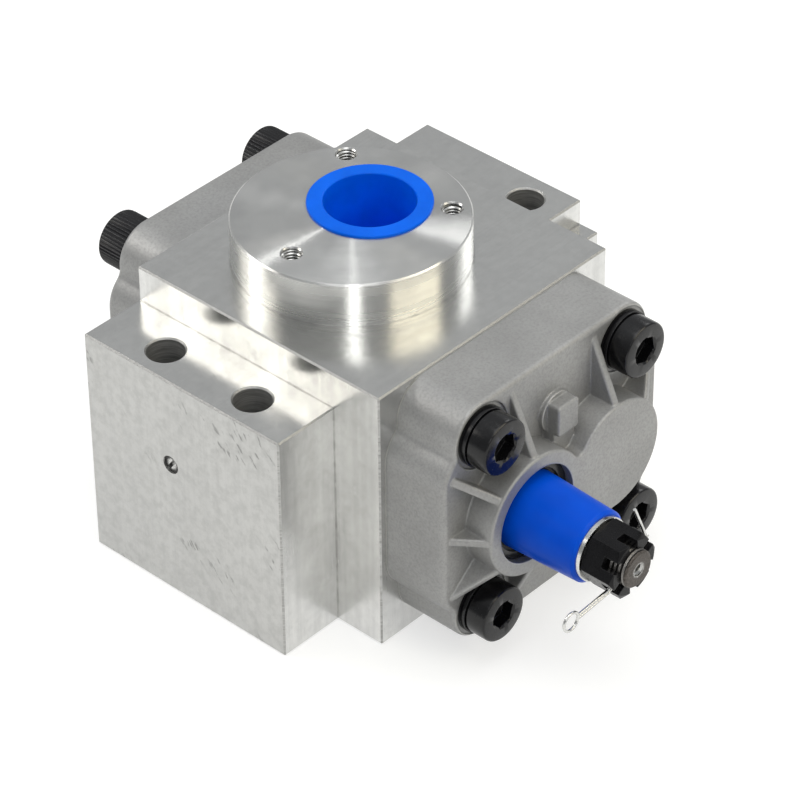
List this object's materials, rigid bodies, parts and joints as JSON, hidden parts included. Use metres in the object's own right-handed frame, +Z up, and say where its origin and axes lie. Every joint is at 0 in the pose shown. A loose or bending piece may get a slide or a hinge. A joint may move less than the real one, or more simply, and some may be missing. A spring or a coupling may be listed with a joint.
{
  "type": "hydraulic gear pump",
  "caption": "External gear pump: milled aluminium block with side lugs, bolted cast covers, round inlet boss, tapered drive shaft with castle nut and blue plastic caps.",
  "frame": {"origin": "centre of the outlet port in the bottom face", "axes": "+Z up, out of the inlet boss; the drive shaft points to -Y; +X from the drive gear to the driven gear"},
  "size_m": [0.1508, 0.196, 0.1072],
  "materials": {
    "milled_aluminium": "milled, bright",
    "cast_aluminium": "die-cast, matt",
    "bearing_aluminium": "machined",
    "bronze": "sintered, matt",
    "seal_rubber": "moulded, matt",
    "ground_steel": "hardened and ground",
    "black_steel": "black oxide",
    "zinc_steel": "zinc plated",
    "blue_plastic": "moulded polyethylene, satin"
  },
  "bodies": {
    "pump": {"pump_body": "milled_aluminium", "front_cover": "cast_aluminium", "rear_cover": "cast_aluminium", "front_bearing_block": "bearing_aluminium", "rear_bearing_block": "bearing_aluminium", "bearing_bushes": "bronze", "front_pressure_seal": "seal_rubber", "rear_pressure_seal": "seal_rubber", "front_body_seal": "seal_rubber", "rear_body_seal": "seal_rubber", "outlet_seal_ring": "seal_rubber", "shaft_seal": "seal_rubber", "snap_ring": "black_steel", "dowel_pins": "ground_steel", "side_plug": "zinc_steel", "front_cap_screws": "black_steel", "front_lock_washers": "black_steel", "rear_cap_screws": "black_steel"},
    "drive_shaft": {"drive_gear_shaft": "ground_steel", "shaft_key": "ground_steel", "shaft_sleeve": "blue_plastic", "shaft_washer": "zinc_steel", "castle_nut": "black_steel", "split_pin": "zinc_steel"},
    "driven_gear": {"driven_gear_shaft": "ground_steel"},
    "inlet_cap": {"inlet_cap": "blue_plastic"}
  },
  "joints": [
    {"name": "drive_shaft_spin", "type": "hinge", "parent": "pump", "child": "drive_shaft", "pos_m": [-0.018, 0, 0.0485], "axis": [0, 1, 0], "continuous": true},
    {"name": "driven_gear_spin", "type": "hinge", "parent": "pump", "child": "driven_gear", "pos_m": [0.018, 0, 0.0485], "axis": [0, 1, 0], "continuous": true},
    {"name": "inlet_cap_lift", "type": "slide", "parent": "pump", "child": "inlet_cap", "axis": [0, 0, 1], "range_m": [0, 0.05]}
  ],
  "couplings": [
    {"joint": "driven_gear_spin", "follows": "drive_shaft_spin", "ratio": -1}
  ]
}
